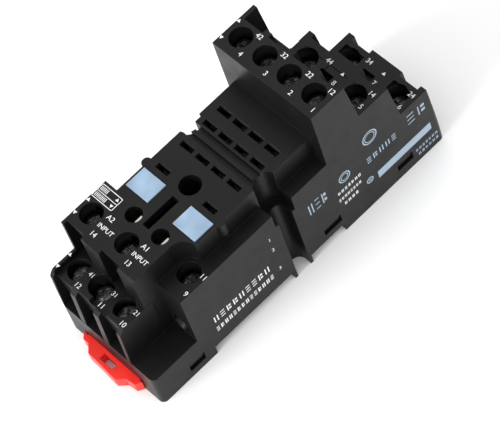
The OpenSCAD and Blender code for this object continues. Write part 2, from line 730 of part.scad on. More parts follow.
// upright tab at the near edge of a module socket
module socket_tab(s) {
    y = s * module_y - module_d / 2 + 0.6;
    block([module_x - 0.9, y - 0.25, fork_base], [module_x + 0.9, y + 0.25, deck_z - 0.6]);
}

module contact_a2() {
    t = term("a2");
    h = strip_w / 2;
    color("peru") placed() {
        fork(coil_row, blade_y[0], fork_base);
        strip(coil_row, module_x, blade_y[0] - h, blade_y[0] + h, fork_base);
        strip(module_x - 1, module_x + 1, module_y - 1.8, t[2] + h, fork_base);
        tongue(t, module_x);
        socket_tab(1);
    }
}

module contact_a1() {
    t = term("a1");
    h = strip_w / 2;
    color("peru") placed() {
        fork(coil_row, blade_y[3], fork_base);
        strip(coil_row, pad_x, blade_y[3] - h, blade_y[3] + h, fork_base);
        strip(module_x - 1, pad_x + 1.5, -module_y - 1.8, -module_y + 1.2, fork_base);
        strip(module_x - 1, module_x + 1, -module_y - 1.8, t[2] + h, fork_base);
        tongue(t, module_x);
        socket_tab(-1);
    }
}

module screw_42() { screw("42"); }
module screw_32() { screw("32"); }
module screw_22() { screw("22"); }
module screw_12() { screw("12"); }
module screw_44() { screw("44"); }
module screw_14() { screw("14"); }
module screw_34() { screw("34"); }
module screw_24() { screw("24"); }
module screw_41() { screw("41"); }
module screw_31() { screw("31"); }
module screw_21() { screw("21"); }
module screw_a2() { screw("a2"); }
module screw_a1() { screw("a1"); }
module screw_11() { screw("11"); }
module clamp_42() { clamp("42"); }
module clamp_32() { clamp("32"); }
module clamp_22() { clamp("22"); }
module clamp_12() { clamp("12"); }
module clamp_44() { clamp("44"); }
module clamp_14() { clamp("14"); }
module clamp_34() { clamp("34"); }
module clamp_24() { clamp("24"); }
module clamp_41() { clamp("41"); }
module clamp_31() { clamp("31"); }
module clamp_21() { clamp("21"); }
module clamp_a2() { clamp("a2"); }
module clamp_a1() { clamp("a1"); }
module clamp_11() { clamp("11"); }

housing();
base_cover();
rail_latch();
latch_spring();
pad_far();
pad_near();
screw_42();
screw_32();
screw_22();
screw_12();
screw_44();
screw_14();
screw_34();
screw_24();
screw_41();
screw_31();
screw_21();
screw_a2();
screw_a1();
screw_11();
clamp_42();
clamp_32();
clamp_22();
clamp_12();
clamp_44();
clamp_14();
clamp_34();
clamp_24();
clamp_41();
clamp_31();
clamp_21();
clamp_a2();
clamp_a1();
clamp_11();
contact_42();
contact_32();
contact_22();
contact_12();
contact_44();
contact_14();
contact_34();
contact_24();
contact_41();
contact_31();
contact_21();
contact_a2();
contact_a1();
contact_11();
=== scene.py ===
"""Looks for a fourteen-terminal relay socket: finishes, printed numbers and a studio stage."""

from math import radians

import bpy
import numpy as np
from bpy.props import FloatProperty, FloatVectorProperty, PointerProperty
from bpy.types import Operator, Panel, PropertyGroup
from mathutils import Matrix, Vector


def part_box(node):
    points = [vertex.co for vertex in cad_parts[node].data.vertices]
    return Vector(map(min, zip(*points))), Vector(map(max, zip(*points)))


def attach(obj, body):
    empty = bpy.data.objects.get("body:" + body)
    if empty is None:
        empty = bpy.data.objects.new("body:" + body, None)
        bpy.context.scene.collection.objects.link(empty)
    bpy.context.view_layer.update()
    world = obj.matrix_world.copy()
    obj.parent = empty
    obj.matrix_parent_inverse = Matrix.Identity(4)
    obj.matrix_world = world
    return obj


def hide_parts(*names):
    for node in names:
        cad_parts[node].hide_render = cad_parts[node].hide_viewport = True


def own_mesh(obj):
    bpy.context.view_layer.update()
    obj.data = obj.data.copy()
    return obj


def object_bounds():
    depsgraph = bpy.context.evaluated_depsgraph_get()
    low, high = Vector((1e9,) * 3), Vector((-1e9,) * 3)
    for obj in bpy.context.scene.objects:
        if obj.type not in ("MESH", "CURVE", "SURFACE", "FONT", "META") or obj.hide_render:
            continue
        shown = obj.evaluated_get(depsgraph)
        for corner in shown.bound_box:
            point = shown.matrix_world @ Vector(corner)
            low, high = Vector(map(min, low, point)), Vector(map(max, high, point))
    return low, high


bl_info = {
    "name": "Relay socket",
    "version": (1, 0, 0),
    "blender": (4, 5, 0),
    "location": "View3D > Sidebar > Relay socket",
    "description": "Finishes, prints and lights a plug-in relay socket",
    "category": "Object",
}

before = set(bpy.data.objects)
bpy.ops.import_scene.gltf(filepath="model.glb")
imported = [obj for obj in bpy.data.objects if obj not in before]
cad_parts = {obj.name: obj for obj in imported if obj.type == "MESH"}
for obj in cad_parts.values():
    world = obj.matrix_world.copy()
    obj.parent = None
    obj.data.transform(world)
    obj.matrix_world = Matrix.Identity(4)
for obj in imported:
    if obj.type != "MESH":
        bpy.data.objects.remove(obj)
CAD_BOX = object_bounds()
MM = 0.001

# Terminals, grouped by the level they stand on.
TOWER = ("42", "32", "22", "12")
UPPER = ("44", "14")
LOWER = ("34", "24")
COMMON = ("41", "31", "21")
COIL = ("a2", "a1")
TERMINALS = TOWER + UPPER + LOWER + COMMON + COIL + ("11",)


def node_box(name):
    """Lowest and highest corner of a CAD node, as numpy arrays."""
    low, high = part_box(name)
    return np.array(low), np.array(high)


def node_middle(name):
    """Middle of a CAD node's box."""
    low, high = node_box(name)
    return (low + high) / 2


HOUSING_LOW, HOUSING_HIGH = node_box("housing")
SCREW = {name: node_middle("screw_" + name) for name in TERMINALS}
SCREW_TOP = {name: node_box("screw_" + name)[1][2] for name in TERMINALS}
# How far the screw heads lie below the surface that carries the print.
HEAD_DEPTH = 3.4 * MM
SURFACE = {name: SCREW_TOP[name] + HEAD_DEPTH for name in TERMINALS}
WALL_Y = HOUSING_LOW[1]

# Where the deck print stands, in millimetres from each terminal's own screw: along X, across Y.
TOWER_PINS = ((4, "42", -2.65), (3, "32", -2.9), (2, "22", -3.05), (1, "12", -2.4))
TOWER_OUTER, TOWER_INNER = 2.4, -2.65
STEP_CONTACTS = (("44", 2.4, -4.1), ("34", 2.1, -4.0), ("14", 2.25, -2.6), ("24", 1.8, -2.55))
STEP_PINS = (("8", "44", -0.6, -8.3), ("7", "34", -0.9, -8.2), ("5", "14", -1.05, -2.8),
             ("6", "24", -1.6, -2.7))
STEP_ARROW = (1.8, -8.25)
COIL_PINS = (("a2", "14", -3.75), ("a1", "13", -3.4))
COIL_NAME_LINE, COIL_WORD_LINE, COIL_WORD_SHIFT = 1.65, -0.65, 1.05
COMMON_PINS = (("41", "12", -3.4), ("31", "11", -3.4), ("21", "10", -3.0))
COMMON_CONTACT_LINE, COMMON_SHIFT = 0.5, 0.1
PIN_LINE = -2.75
LONE_CONTACT, LONE_PIN = (1.1, -2.9), (-3.5, -2.9)
# Marks along the far edge: upper and lower distance along X, and their gap to the edge.
TOWER_MARKS, COIL_MARKS, COMMON_MARKS = (2.35, -2.3), (1.7, -1.8), (0.75, -2.45)
EDGE_GAP = 0.45
SMALL_NUMBER = 0.9

# The box beside the coil terminals, in millimetres.
LABEL_AT = (4.35, 0.25)
LABEL_WIDE, LABEL_TALL, LABEL_LINE, LABEL_DIVIDER = 5.8, 3.25, 0.15, 0.13
# Its two rows: up or down, and the number of strokes.
LABEL_ROWS = ((1, 6), (-1, 9))
LABEL_ROW_RISE = 0.78
LABEL_STROKE_TALL, LABEL_STROKE_PITCH, LABEL_STROKE_START = 0.95, 0.34, 2.4
LABEL_MARK_ALONG, LABEL_MARK_SIZE = 2.05, 0.9

# The side print, in millimetres from the low end of the wall and from the floor.
# Each row: first and last distance, height, height of its figures, number of figures.
LONG_ROWS = ((16.3, 31.6, 10.2, 1.9, 9), (16.2, 31.8, 6.9, 1.4, 14))
SHORT_ROWS = ((50.6, 57.0, 12.4, 0.9, 7), (50.4, 56.6, 10.2, 0.9, 8), (51.4, 55.4, 8.1, 0.9, 4))
PALE_ROWS = ((43.3, 48.6, 15.6, 3.2, 3), (58.8, 67.2, 14.0, 1.7, 5), (69.8, 75.6, 14.7, 2.8, 2),
             (70.2, 76.4, 3.6, 0.8, 7), (70.6, 76.4, 2.0, 0.8, 6))
WALL_NUMBERS = (("1", 18.0), ("2", 14.4), ("3", 7.4))
WALL_NUMBERS_ALONG = 33.6
# Each pair of rings: distance, height, outer radius.
WALL_RINGS = ((53.3, 15.9, 1.5), (61.2, 20.4, 1.9), (58.5, 8.0, 0.9))
# How far the three inner circles of a pair lie inside the outer one.
RING_STEPS = (0.3, 0.55, 0.75)
BAND_AT, BAND_SIZE = (67.9, 7.2), (14.6, 2.2)
# A row's figure: width and stroke as shares of the pitch, the thickest stroke, and a dot's width
# and height as shares of the figure's.
FIGURE_WIDTH, FIGURE_STROKE, STROKE_MOST = 0.62, 0.24, 0.28
DOT_WIDTH, DOT_HEIGHT = 0.55, 0.28


# ------------------------------------------------------------------ settings

class SocketPlastic(PropertyGroup):
    """Colours and grain of the mouldings."""
    body: FloatVectorProperty(name="Body", description="Colour of the housing", subtype="COLOR",
                              size=3, min=0, max=1, default=(0.0045, 0.0045, 0.005))
    cover: FloatVectorProperty(name="Cover", description="Colour of the base cover",
                               subtype="COLOR", size=3, min=0, max=1,
                               default=(0.0056, 0.0056, 0.006))
    latch: FloatVectorProperty(name="Latch", description="Colour of the rail latch",
                               subtype="COLOR", size=3, min=0, max=1, default=(0.9, 0.02, 0.011))
    pad: FloatVectorProperty(name="Pad", description="Colour of the two deck pads", subtype="COLOR",
                             size=3, min=0, max=1, default=(0.275, 0.385, 0.52))
    gloss: FloatProperty(name="Roughness", description="Middle roughness of the housing",
                         subtype="FACTOR", min=0.1, max=0.9, default=0.4)
    shine: FloatProperty(name="Shine",
                         description="Strength of the mirror part of the black plastic",
                         subtype="FACTOR", min=0.1, max=0.9, default=0.235)
    grain: FloatProperty(name="Grain", description="Size of the fine mould grain",
                         subtype="DISTANCE", unit="LENGTH", min=0.00005, max=0.001, default=0.00022)
    edge: FloatProperty(name="Edge", description="Radius of the softened edges",
                        subtype="DISTANCE", unit="LENGTH", min=0, max=0.0005, default=0.00016)


class SocketMetal(PropertyGroup):
    """Colours of the metal parts."""
    # A dark grey, far darker than plain zinc, so the screw heads stay dark down in their wells.
    zinc: FloatVectorProperty(name="Zinc", description="Colour of the zinc plate", subtype="COLOR",
                              size=3, min=0, max=1, default=(0.22, 0.22, 0.22))
    tin: FloatVectorProperty(name="Tin", description="Colour of the tinned contact strip",
                             subtype="COLOR", size=3, min=0, max=1, default=(0.66, 0.62, 0.55))
    spring: FloatVectorProperty(name="Spring", description="Colour of the spring wire",
                                subtype="COLOR", size=3, min=0, max=1, default=(0.5, 0.5, 0.52))


class SocketPrint(PropertyGroup):
    """Sizes and colours of the pad printing."""
    ink: FloatVectorProperty(name="Ink", description="Colour of the white print", subtype="COLOR",
                             size=3, min=0, max=1, default=(0.86, 0.87, 0.88))
    band: FloatVectorProperty(name="Band", description="Colour of the blue-grey side print",
                              subtype="COLOR", size=3, min=0, max=1, default=(0.36, 0.47, 0.58))
    number: FloatProperty(name="Number", description="Height of the terminal numbers",
                          subtype="DISTANCE", unit="LENGTH", min=0.0005, max=0.003, default=0.00108)
    word: FloatProperty(name="Word", description="Height of the small words",
                        subtype="DISTANCE", unit="LENGTH", min=0.0005, max=0.003, default=0.001)
    lift: FloatProperty(name="Lift", description="Thickness of the ink above the plastic",
                        subtype="DISTANCE", unit="LENGTH", min=0.000005, max=0.00005,
                        default=0.000015)


class SocketStage(PropertyGroup):
    """Camera, floor and light."""
    azimuth: FloatProperty(name="Azimuth", description="Direction of the camera round the part",
                           subtype="ANGLE", unit="ROTATION", default=radians(-25.2))
    elevation: FloatProperty(name="Elevation", description="Height angle of the camera",
                             subtype="ANGLE", unit="ROTATION", default=radians(57.265))
    roll: FloatProperty(name="Roll", description="Turn of the camera about its own view",
                        subtype="ANGLE", unit="ROTATION", default=radians(-21.758))
    distance: FloatProperty(name="Distance", description="Camera distance from its target",
                            subtype="DISTANCE", unit="LENGTH", default=0.58084)
    lens: FloatProperty(name="Lens", description="Focal length in millimetres", default=216.0)
    floor: FloatVectorProperty(name="Floor", description="Colour of the floor", subtype="COLOR",
                               size=3, min=0, max=1, default=(0.96, 0.96, 0.96))
    main: FloatProperty(name="Main",
                        description="Power in watts of the soft light at the latch end",
                        default=8.4)
    sky: FloatProperty(name="Sky", description="Strength of the even surround", default=1.08)


# ------------------------------------------------------------------ mesh helpers

def mesh_object(name, verts, faces):
    """A mesh object at the origin from an array of points and a list of faces."""
    mesh = bpy.data.meshes.new(name)
    mesh.from_pydata(np.asarray(verts, float).tolist(), [], [list(f) for f in faces])
    mesh.update()
    obj = bpy.data.objects.new(name, mesh)
    bpy.context.scene.collection.objects.link(obj)
    return obj


def tube_along(name, path, radius, sides=14):
    """A closed round wire along a path: point + radius * (cos b * across + sin b * third), where
    `across` and `third` stand square to the path's direction and b runs round the wire."""
    path = np.asarray(path, float)
    way = np.gradient(path, axis=0)
    way /= np.linalg.norm(way, axis=1, keepdims=True)
    across = np.cross(way, (1.0, 0.0, 0.0))
    across /= np.linalg.norm(across, axis=1, keepdims=True)
    third = np.cross(way, across)
    b = np.linspace(0, 2 * np.pi, sides, endpoint=False)
    spoke = np.cos(b)[:, None] * across[:, None] + np.sin(b)[:, None] * third[:, None]
    wall = path[:, None] + radius * spoke
    ring, side = np.meshgrid(np.arange(len(path) - 1), np.arange(sides), indexing="ij")
    first, after = ring * sides + side, ring * sides + (side + 1) % sides
    faces = np.stack([first, after, after + sides, first + sides], -1).reshape(-1, 4).tolist()
    faces += [list(range(sides))[::-1], list((len(path) - 1) * sides + np.arange(sides))]
    obj = mesh_object(name, wall.reshape(-1, 3), faces)
    obj.data.polygons.foreach_set("use_smooth", [True] * (len(faces) - 2) + [False] * 2)
    return obj


def dress(obj, material, body="socket"):
    """Gives a new piece its material and the body it rides on."""
    obj.data.materials.append(material)
    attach(obj, body)
    return obj


def paint_node(name, material):
    """Puts one material in every slot of a CAD node."""
    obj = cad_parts[name]
    if not obj.material_slots:
        obj.data.materials.append(material)
    for entry in obj.material_slots:
        entry.material = material


# ------------------------------------------------------------------ material helpers

# Sizes of the noise blobs and depths of the bumps, in metres.
NOISE_RANGE = (0.3, 0.7)
BEVEL_SAMPLES = 6
CLOUD_SIZE, FLOW_SIZE, RIPPLE_SIZE = 0.006, 0.0035, 0.004
RIPPLE_DEPTH, GRAIN_DEPTH = 0.00005, 0.000004
STAIN_SIZE, SCRATCH_DEPTH, METAL_EDGE = 0.0012, 0.0000015, 0.00008
INK_CLOUD_SIZE, INK_GRAIN_SIZE, INK_GRAIN_DEPTH = 0.0005, 0.0002, 0.000003

def new_material(name):
    """An empty node material: its tree, its Principled shader and the object coordinates."""
    material = bpy.data.materials.new(name)
    material.use_nodes = True
    tree = material.node_tree
    tree.nodes.clear()
    shader = tree.nodes.new("ShaderNodeBsdfPrincipled")
    output = tree.nodes.new("ShaderNodeOutputMaterial")
    tree.links.new(shader.outputs["BSDF"], output.inputs["Surface"])
    coords = tree.nodes.new("ShaderNodeTexCoord")
    return material, tree, shader, coords.outputs["Object"]


def noise(tree, vector, size, detail, rough=0.5):
    """Noise whose blobs are about `size` metres across."""
    node = tree.nodes.new("ShaderNodeTexNoise")
    node.inputs["Scale"].default_value = 1.0 / size
    node.inputs["Detail"].default_value = detail
    node.inputs["Roughness"].default_value = rough
    tree.links.new(vector, node.inputs["Vector"])
    return node.outputs["Fac"]


def ramp(tree, value, low, high):
    """Spreads a noise value over the colours `low`..`high`."""
    node = tree.nodes.new("ShaderNodeValToRGB")
    first, last = node.color_ramp.elements
    first.position, last.position = NOISE_RANGE
    first.color = (*low, 1)
    last.color = (*high, 1)
    tree.links.new(value, node.inputs["Fac"])
    return node.outputs["Color"]


def span(tree, value, low, high):
    """Maps a noise value to the numbers `low`..`high`."""
    node = tree.nodes.new("ShaderNodeMapRange")
    node.inputs["From Min"].default_value, node.inputs["From Max"].default_value = NOISE_RANGE
    node.inputs["To Min"].default_value = low
    node.inputs["To Max"].default_value = high
    tree.links.new(value, node.inputs["Value"])
    return node.outputs["Result"]


def bump(tree, height, depth, normal=None, strength=1.0):
    """Bump of `depth` metres from a height between 0 and 1."""
    node = tree.nodes.new("ShaderNodeBump")
    node.inputs["Distance"].default_value = depth
    node.inputs["Strength"].default_value = strength
    tree.links.new(height, node.inputs["Height"])
    if normal is not None:
        tree.links.new(normal, node.inputs["Normal"])
    return node.outputs["Normal"]


def soft_edge(tree, radius):
    """Normals rounded over `radius` metres at the edges."""
    node = tree.nodes.new("ShaderNodeBevel")
    node.samples = BEVEL_SAMPLES
    node.inputs["Radius"].default_value = radius
    return node.outputs["Normal"]


def tint(colour, factor):
    """A colour made lighter or darker."""
    return tuple(min(1.0, c * factor) for c in colour)


def moulded_plastic(name, colour, rough, settings, shine=0.5):
    """Moulded plastic: cloudy colour, flow marks in the gloss, fine mould grain, soft edges."""
    material, tree, shader, place = new_material(name)
    cloud = noise(tree, place, CLOUD_SIZE, 4)
    shade = ramp(tree, cloud, tint(colour, 0.82), tint(colour, 1.2))
    tree.links.new(shade, shader.inputs["Base Color"])
    flow = noise(tree, place, FLOW_SIZE, 5, 0.6)
    tree.links.new(span(tree, flow, rough - 0.05, rough + 0.06), shader.inputs["Roughness"])
    grain = noise(tree, place, settings.grain, 2)
    ripple = noise(tree, place, RIPPLE_SIZE, 2)
    normal = bump(tree, ripple, RIPPLE_DEPTH, soft_edge(tree, settings.edge), 0.5)
    tree.links.new(bump(tree, grain, GRAIN_DEPTH, normal, 0.6), shader.inputs["Normal"])
    shader.inputs["Specular IOR Level"].default_value = shine
    return material


def plated_metal(name, colour, rough, grain, edge=METAL_EDGE):
    """Plated metal: stained colour, streaky gloss and fine scratches."""
    material, tree, shader, place = new_material(name)
    stain = noise(tree, place, STAIN_SIZE, 4)
    shade = ramp(tree, stain, tint(colour, 0.78), tint(colour, 1.08))
    tree.links.new(shade, shader.inputs["Base Color"])
    streak = noise(tree, place, grain, 3, 0.65)
    tree.links.new(span(tree, streak, rough - 0.08, rough + 0.1), shader.inputs["Roughness"])
    normal = bump(tree, streak, SCRATCH_DEPTH, soft_edge(tree, edge), 0.5)
    tree.links.new(normal, shader.inputs["Normal"])
    shader.inputs["Metallic"].default_value = 1.0
    return material


def printed_ink(name, colour):
    """Pad-printed ink: slightly uneven cover and a soft sheen."""
    material, tree, shader, place = new_material(name)
    cover = noise(tree, place, INK_CLOUD_SIZE, 3)
    shade = ramp(tree, cover, tint(colour, 0.84), tint(colour, 1.05))
    tree.links.new(shade, shader.inputs["Base Color"])
    tree.links.new(span(tree, cover, 0.42, 0.6), shader.inputs["Roughness"])
    normal = bump(tree, noise(tree, place, INK_GRAIN_SIZE, 2), INK_GRAIN_DEPTH)
    tree.links.new(normal, shader.inputs["Normal"])
    return material


# ------------------------------------------------------------------ mouldings

class SOCKET_OT_housing(Operator):
    """Finish the housing and the base cover in satin black plastic"""
    bl_idname = "socket.housing"
    bl_label = "Housing"

    def execute(self, context):
        plastic = context.scene.socket_plastic
        black = moulded_plastic("satin_black_plastic", plastic.body, plastic.gloss, plastic,
                                plastic.shine)
        paint_node("housing", black)
        under = moulded_plastic("cover_plastic", plastic.cover, plastic.gloss + 0.08, plastic,
                                plastic.shine)
        paint_node("base_cover", under)
        return {"FINISHED"}


class SOCKET_OT_latch(Operator):
    """Finish the rail latch in bright red plastic"""
    bl_idname = "socket.latch"
    bl_label = "Rail latch"

    def execute(self, context):
        plastic = context.scene.socket_plastic
        red = moulded_plastic("red_plastic", plastic.latch, 0.34, plastic)
        paint_node("rail_latch", red)
        return {"FINISHED"}


class SOCKET_OT_pads(Operator):
    """Finish the two coloured pads on the deck"""
    bl_idname = "socket.pads"
    bl_label = "Deck pads"

    def execute(self, context):
        plastic = context.scene.socket_plastic
        blue = moulded_plastic("pale_blue_plastic", plastic.pad, 0.55, plastic, 0.4)
        for name in ("pad_far", "pad_near"):
            paint_node(name, blue)
        return {"FINISHED"}


# ------------------------------------------------------------------ metalwork

SPRING_WIRE_RADIUS = 0.2 * MM
SPRING_TURNS, SPRING_END_TURNS, SPRING_END_SHARE = 6.5, 0.9, 0.075
SPRING_STEPS = 300


class SOCKET_OT_metalwork(Operator):
    """Finish screws, clamps, contacts and the latch spring"""
    bl_idname = "socket.metalwork"
    bl_label = "Metalwork"

    def execute(self, context):
        metal = context.scene.socket_metal
        # The screws take that dark grey, which keeps their heads dark down in the wells.
        zinc = plated_metal("bright_zinc", metal.zinc, 0.24, 0.0003)
        dull = plated_metal("dull_zinc", tint(metal.zinc, 1.3), 0.4, 0.0005)
        tin = plated_metal("tinned_strip", metal.tin, 0.35, 0.0006)
        wire = plated_metal("spring_wire", metal.spring, 0.3, 0.0002, 0.00002)
        for name in TERMINALS:
            paint_node("screw_" + name, zinc)
            paint_node("clamp_" + name, dull)
            paint_node("contact_" + name, tin)
        self.spring(wire)
        return {"FINISHED"}

    def spring(self, wire):
        """The latch spring: a helix whose pitch is small in the end coils and even between them.
        On the real socket it is squeezed against its fixed end as the latch slides out; this helix
        keeps the length of the CAD spring."""
        low, high = node_box("latch_spring")
        middle, thick = (low + high) / 2, SPRING_WIRE_RADIUS
        t = np.linspace(0, SPRING_TURNS, SPRING_STEPS)
        rise = np.interp(t, (0, SPRING_END_TURNS, SPRING_TURNS - SPRING_END_TURNS, SPRING_TURNS),
                         (0, SPRING_END_SHARE, 1 - SPRING_END_SHARE, 1))
        radius = (high[2] - low[2]) / 2 - thick
        path = np.stack([low[0] + thick + rise * (high[0] - low[0] - 2 * thick),
                         middle[1] + radius * np.cos(2 * np.pi * t),
                         middle[2] + radius * np.sin(2 * np.pi * t)], 1)
        coil = dress(tube_along("return_spring", path, thick), wire)
        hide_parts("latch_spring")
        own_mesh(coil)


# ------------------------------------------------------------------ printing

class Print:
    """Collects flat shapes for one layer of print. A point (right, up) of a shape is laid on a
    surface by the surface's own two directions: origin + right * side + up * rise."""

    def __init__(self, origin, side, rise, face):
        self.origin = np.array(origin, float)
        self.side = np.array(side, float)
        self.rise = np.array(rise, float)
        self.face = np.array(face, float)
        self.verts = []
        self.faces = []

    def add(self, points, faces, at):
        """Adds a flat shape with its own zero at the surface point `at`."""
        points = np.asarray(points, float)
        laid = np.array(at, float) + points[:, :1] * self.side + points[:, 1:2] * self.rise
        start = sum(len(v) for v in self.verts)
        self.verts.append(laid)
        self.faces.extend([[start + i for i in f] for f in faces])

    def word(self, text, at, height):
        """Adds a word centred on a surface point, its figures `height` tall."""
        curve = bpy.data.curves.new("word", "FONT")
        curve.body = text
        curve.align_x = "CENTER"
        curve.align_y = "CENTER"
        holder = bpy.data.objects.new("word", curve)
        bpy.context.scene.collection.objects.link(holder)
        bpy.context.view_layer.update()
        graph = bpy.context.evaluated_depsgraph_get()
        shape = bpy.data.meshes.new_from_object(holder.evaluated_get(graph))
        points = np.empty(len(shape.vertices) * 3)
        shape.vertices.foreach_get("co", points)
        points = points.reshape(-1, 3)[:, :2]
        faces = [list(p.vertices) for p in shape.polygons]
        points -= (points.min(0) + points.max(0)) / 2
        scale = height / (points[:, 1].max() - points[:, 1].min())
        points *= scale
        self.add(points, faces, at)
        bpy.data.objects.remove(holder)
        bpy.data.curves.remove(curve)
        bpy.data.meshes.remove(shape)

    def bar(self, at, width, height):
        """Adds a plain rectangle centred on a surface point."""
        x, y = width / 2, height / 2
        self.add([(-x, -y), (x, -y), (x, y), (-x, y)], [(0, 1, 2, 3)], at)

    def box(self, at, width, height, line):
        """Adds a rectangular outline."""
        for side in (-1, 1):
            self.bar(at + self.rise * side * (height - line) / 2, width, line)
            self.bar(at + self.side * side * (width - line) / 2, line, height)

    def ring(self, at, outer, inner, count=32):
        """Adds a ring: radius times (cos t, sin t) for t round the circle, outer and inner."""
        t = np.linspace(0, 2 * np.pi, count, endpoint=False)
        circle = np.stack([np.cos(t), np.sin(t)], 1)
        faces = [(i, (i + 1) % count, count + (i + 1) % count, count + i) for i in range(count)]
        self.add(np.concatenate([outer * circle, inner * circle]), faces, at)

    def arrow(self, at, size, turn):
        """Adds a small solid triangle that points along `turn`."""
        t = turn + np.array([0, 2, 4]) * np.pi / 3
        self.add(size / 2 * np.stack([np.cos(t), np.sin(t)], 1), [(0, 1, 2)], at)

    def build(self, name, material):
        """Makes the collected shapes one piece, lifted a hair above the surface."""
        lift = bpy.context.scene.socket_print.lift
        verts = np.concatenate(self.verts) + self.face * lift
        return dress(mesh_object(name, verts, self.faces), material)


def deck_print():
    """Print that lies on upward faces and reads across the socket: right is -Y, up is +X."""
    return Print((0, 0, 0), (0, -1, 0), (1, 0, 0), (0, 0, 1))


def wall_print():
    """Print on the printed side wall: right is +X, up is +Z."""
    return Print((0, WALL_Y, 0), (1, 0, 0), (0, 0, 1), (0, -1, 0))


def beside(name, along, across):
    """Surface point next to a terminal's screw, moved in millimetres along X and across Y."""
    x, y, _ = SCREW[name]
    return np.array([x + along * MM, y + across * MM, SURFACE[name]])


class SOCKET_OT_numbers(Operator):
    """Print the terminal numbers on every level"""
    bl_idname = "socket.numbers"
    bl_label = "Terminal numbers"

    def execute(self, context):
        style = context.scene.socket_print
        ink = printed_ink("white_ink", style.ink)
        tall, small, word = style.number, style.number * SMALL_NUMBER, style.word
        layer = deck_print()
        # tower: contact number outside, pin number towards the relay
        for pin, name, shift in TOWER_PINS:
            layer.word(name, beside(name, TOWER_OUTER, shift), tall)
            layer.word(str(pin), beside(name, TOWER_INNER, shift), tall)
        self.arrows(layer, "42", *TOWER_MARKS)
        # two upper levels
        for name, along, across in STEP_CONTACTS:
            layer.word(name, beside(name, along, across), tall)
        for pin, name, along, across in STEP_PINS:
            layer.word(pin, beside(name, along, across), tall)
        for name in ("44", "34"):
            layer.arrow(beside(name, *STEP_ARROW), MM, radians(90))
        layer.build("print_upper_levels", ink)
        # coil block and low step
        layer = deck_print()
        for name, pin, shift in COIL_PINS:
            layer.word(name.upper(), beside(name, COIL_NAME_LINE, shift), tall)
            layer.word("INPUT", beside(name, COIL_WORD_LINE, shift - COIL_WORD_SHIFT), word)
            layer.word(pin, beside(name, PIN_LINE, shift), tall)
        self.arrows(layer, "a2", *COIL_MARKS)
        for name, pin, shift in COMMON_PINS:
            layer.word(name, beside(name, COMMON_CONTACT_LINE, shift - COMMON_SHIFT), small)
            layer.word(pin, beside(name, PIN_LINE, shift + COMMON_SHIFT), tall)
        self.arrows(layer, "41", *COMMON_MARKS)
        layer.word("11", beside("11", *LONE_CONTACT), tall)
        layer.word("9", beside("11", *LONE_PIN), tall)
        self.label_box(layer)
        layer.build("print_low_levels", ink)
        return {"FINISHED"}

    def arrows(self, layer, name, upper, lower):
        """A mark that points in and one that points out, along the far edge beside a terminal."""
        across = HOUSING_HIGH[1] / MM - SCREW[name][1] / MM - EDGE_GAP
        for along, turn in ((upper, 90), (lower, -90)):
            layer.arrow(beside(name, along, across), MM, radians(turn))

    def label_box(self, layer):
        """A two-row box beside the coil terminals, with plain strokes and a mark in each row."""
        middle = beside("a2", *LABEL_AT)
        layer.box(middle, LABEL_WIDE * MM, LABEL_TALL * MM, LABEL_LINE * MM)
        layer.bar(middle, LABEL_WIDE * MM, LABEL_DIVIDER * MM)
        for row, count in LABEL_ROWS:
            at = middle + layer.rise * row * LABEL_ROW_RISE * MM
            for place in range(count):
                along = place * LABEL_STROKE_PITCH - LABEL_STROKE_START
                layer.bar(at + layer.side * along * MM, LABEL_LINE * MM, LABEL_STROKE_TALL * MM)
            layer.arrow(at + layer.side * LABEL_MARK_ALONG * MM, LABEL_MARK_SIZE * MM,
                        radians(90 * row))


class SOCKET_OT_side_print(Operator):
    """Print plain rows, rings, a band and three numbers on the side wall"""
    bl_idname = "socket.side_print"
    bl_label = "Side print"

    def execute(self, context):
        style = context.scene.socket_print
        white = bpy.data.materials["white_ink"]
        pale = printed_ink("blue_grey_ink", style.band)
        start = HOUSING_LOW[0]
        layer = wall_print()
        for line in LONG_ROWS:
            self.row(layer, start, *line)
        for text, height in WALL_NUMBERS:
            at = np.array([start + WALL_NUMBERS_ALONG * MM, WALL_Y, height * MM])
            layer.word(text, at, style.word)
        for line in SHORT_ROWS:
            self.row(layer, start, *line)
        layer.build("print_side_rows", white)
        layer = wall_print()
        for line in PALE_ROWS:
            self.row(layer, start, *line)
        for along, height, radius in WALL_RINGS:
            at = np.array([start + along * MM, WALL_Y, height * MM])
            first, second, third = (radius - step for step in RING_STEPS)
            layer.ring(at, radius * MM, first * MM)
            layer.ring(at, second * MM, third * MM)
        at = np.array([start + BAND_AT[0] * MM, WALL_Y, BAND_AT[1] * MM])
        layer.bar(at, BAND_SIZE[0] * MM, BAND_SIZE[1] * MM)
        layer.build("print_side_marks", pale)
        return {"FINISHED"}

    def row(self, layer, start, first, last, height, tall, count):
        """A row of plain figures between two distances, in millimetres, from the low end: two
        uprights, an upright with two dots or three level strokes in turn."""
        pitch = (last - first) / count
        wide, stroke = pitch * FIGURE_WIDTH, min(STROKE_MOST, pitch * FIGURE_STROKE)
        for place in range(count):
            middle = first + (place + 0.5) * pitch
            at = np.array([start + middle * MM, WALL_Y, height * MM])
            figure = (2 * place + place // 3 + count) % 3
            if figure == 0:
                for side in (-1, 1):
                    layer.bar(at + layer.side * side * (wide - stroke) / 2 * MM, stroke * MM,
                              tall * MM)
            elif figure == 1:
                layer.bar(at - layer.side * (wide - stroke) / 2 * MM, stroke * MM, tall * MM)
                for side in (-1, 1):
                    dot = at + layer.side * wide / 5 * MM + layer.rise * side * tall / 4 * MM
                    layer.bar(dot, wide * DOT_WIDTH * MM, tall * DOT_HEIGHT * MM)
            else:
                for side in (-1, 0, 1):
                    layer.bar(at + layer.rise * side * (tall - stroke) / 2 * MM, wide * MM,
                              stroke * MM)


# ------------------------------------------------------------------ stage

